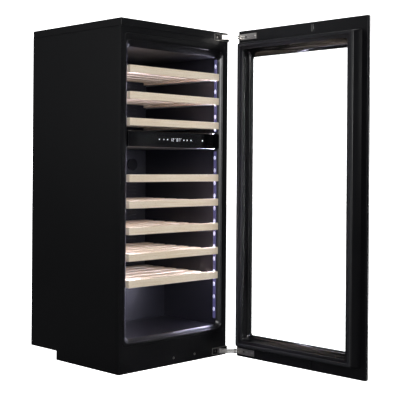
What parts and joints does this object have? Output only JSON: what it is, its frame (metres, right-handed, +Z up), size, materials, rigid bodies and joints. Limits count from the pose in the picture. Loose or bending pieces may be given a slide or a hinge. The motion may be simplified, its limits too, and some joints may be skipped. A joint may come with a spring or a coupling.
{
  "type": "wine cooler",
  "caption": "Tall built-in wine cooler with two lit zones, sliding beech-fronted shelves, a bottle bin and a framed glass door on folding hinges, shown open.",
  "frame": {"origin": "middle of the cabinet's footprint, on the underside of its flat base", "axes": "+Z up, +X to the right seen from the front, -Y to the front"},
  "size_m": [0.563, 1.116, 1.218],
  "materials": {
    "black_steel": "satin black powder coat",
    "galvanised": "galvanised sheet",
    "black_plastic": "satin moulded plastic",
    "foam": "rigid foam",
    "liner_plastic": "vacuum-formed dark liner",
    "gloss_black": "gloss black panel",
    "led_strip": "milky light strip",
    "duct_plastic": "dark duct cover",
    "fan_plastic": "moulded fan",
    "coil": "aluminium plate coil",
    "filter": "charcoal filter",
    "compressor_black": "black enamel shell",
    "condenser_metal": "finned coil",
    "tray_plastic": "moulded tray",
    "board": "circuit board",
    "gland_rubber": "moulded bush",
    "beech": "oiled beech",
    "zinc_steel": "zinc-plated steel",
    "hinge_nickel": "bright nickel-plated steel",
    "tinted_glass": "clear tempered glass, black border printed on its back",
    "clear_glass": "clear low-emissivity glass",
    "door_plastic": "satin moulded plastic",
    "gasket_rubber": "magnetic door seal"
  },
  "bodies": {
    "cabinet": {"side_panel_left": "black_steel", "side_panel_right": "black_steel", "base_tray": "black_steel", "top_cap": "black_steel", "front_frame": "black_plastic", "rear_panel": "galvanised", "bay_cover": "galvanised", "insulation": "foam", "liner": "liner_plastic", "zone_divider": "foam", "control_fascia": "gloss_black", "light_strips": "led_strip", "duct_cover_upper": "duct_plastic", "duct_cover_lower": "duct_plastic", "evaporators": "coil", "charcoal_filter": "filter", "compressor": "compressor_black", "drip_tray": "tray_plastic", "condenser": "condenser_metal", "cord_gland": "gland_rubber", "control_board": "board", "shelf_rails": "zinc_steel", "hinge_plates": "hinge_nickel", "plate_screws": "hinge_nickel"},
    "door": {"door_carrier": "door_plastic", "door_glass": "tinted_glass", "inner_glass": "clear_glass", "door_inner_frame": "door_plastic", "door_gasket": "gasket_rubber", "hinge_brackets": "hinge_nickel", "bracket_screws": "hinge_nickel"},
    "link_lower": {"hinge_link_lower": "hinge_nickel"},
    "link_upper": {"hinge_link_upper": "hinge_nickel"},
    "circulation_fan_upper": {"fan_upper": "fan_plastic"},
    "circulation_fan_lower": {"fan_lower": "fan_plastic"},
    "cooling_fan": {"condenser_fan": "fan_plastic"},
    "shelf_1": {"shelf_1_fascia": "beech", "shelf_1_deck": "beech", "shelf_1_runners": "zinc_steel"},
    "shelf_2": {"shelf_2_fascia": "beech", "shelf_2_deck": "beech", "shelf_2_runners": "zinc_steel"},
    "shelf_3": {"shelf_3_fascia": "beech", "shelf_3_deck": "beech", "shelf_3_runners": "zinc_steel"},
    "shelf_4": {"shelf_4_fascia": "beech", "shelf_4_deck": "beech", "shelf_4_runners": "zinc_steel"},
    "shelf_5": {"shelf_5_fascia": "beech", "shelf_5_deck": "beech", "shelf_5_runners": "zinc_steel"},
    "shelf_6": {"shelf_6_fascia": "beech", "shelf_6_deck": "beech", "shelf_6_runners": "zinc_steel"},
    "shelf_7": {"shelf_7_fascia": "beech", "shelf_7_deck": "beech", "shelf_7_runners": "zinc_steel"},
    "shelf_8": {"shelf_8_fascia": "beech", "shelf_8_deck": "beech", "shelf_8_runners": "zinc_steel"}
  },
  "joints": [
    {"name": "door_swing", "type": "hinge", "parent": "cabinet", "child": "door", "pos_m": [0.2815, -0.3015, 0.6075], "axis": [0, 0, 1], "range_deg": [-90, 20]},
    {"name": "link_lower_turn", "type": "hinge", "parent": "cabinet", "child": "link_lower", "pos_m": [0.2255, -0.262, 0.0205], "axis": [0, 0, 1], "range_deg": [-5.51, 21.3]},
    {"name": "link_upper_turn", "type": "hinge", "parent": "cabinet", "child": "link_upper", "pos_m": [0.2255, -0.262, 1.1945], "axis": [0, 0, 1], "range_deg": [-5.51, 21.3]},
    {"name": "circulation_fan_upper_spin", "type": "hinge", "parent": "cabinet", "child": "circulation_fan_upper", "pos_m": [0, 0.1685, 1.043], "axis": [0, 1, 0], "continuous": true},
    {"name": "circulation_fan_lower_spin", "type": "hinge", "parent": "cabinet", "child": "circulation_fan_lower", "pos_m": [0, 0.1685, 0.698], "axis": [0, 1, 0], "continuous": true},
    {"name": "cooling_fan_spin", "type": "hinge", "parent": "cabinet", "child": "cooling_fan", "pos_m": [0.125, 0.14, 0.1095], "axis": [0, 1, 0], "continuous": true},
    {"name": "shelf_1_slide", "type": "slide", "parent": "cabinet", "child": "shelf_1", "axis": [0, -1, 0], "range_m": [0, 0.25]},
    {"name": "shelf_2_slide", "type": "slide", "parent": "cabinet", "child": "shelf_2", "axis": [0, -1, 0], "range_m": [0, 0.25]},
    {"name": "shelf_3_slide", "type": "slide", "parent": "cabinet", "child": "shelf_3", "axis": [0, -1, 0], "range_m": [0, 0.25]},
    {"name": "shelf_4_slide", "type": "slide", "parent": "cabinet", "child": "shelf_4", "axis": [0, -1, 0], "range_m": [0, 0.25]},
    {"name": "shelf_5_slide", "type": "slide", "parent": "cabinet", "child": "shelf_5", "axis": [0, -1, 0], "range_m": [0, 0.25]},
    {"name": "shelf_6_slide", "type": "slide", "parent": "cabinet", "child": "shelf_6", "axis": [0, -1, 0], "range_m": [0, 0.25]},
    {"name": "shelf_7_slide", "type": "slide", "parent": "cabinet", "child": "shelf_7", "axis": [0, -1, 0], "range_m": [0, 0.25]},
    {"name": "shelf_8_slide", "type": "slide", "parent": "cabinet", "child": "shelf_8", "axis": [0, -1, 0], "range_m": [0, 0.25]}
  ],
  "couplings": [
    {"joint": "link_lower_turn", "follows": "door_swing", "ratio": -0.2255},
    {"joint": "link_upper_turn", "follows": "door_swing", "ratio": -0.2255}
  ]
}
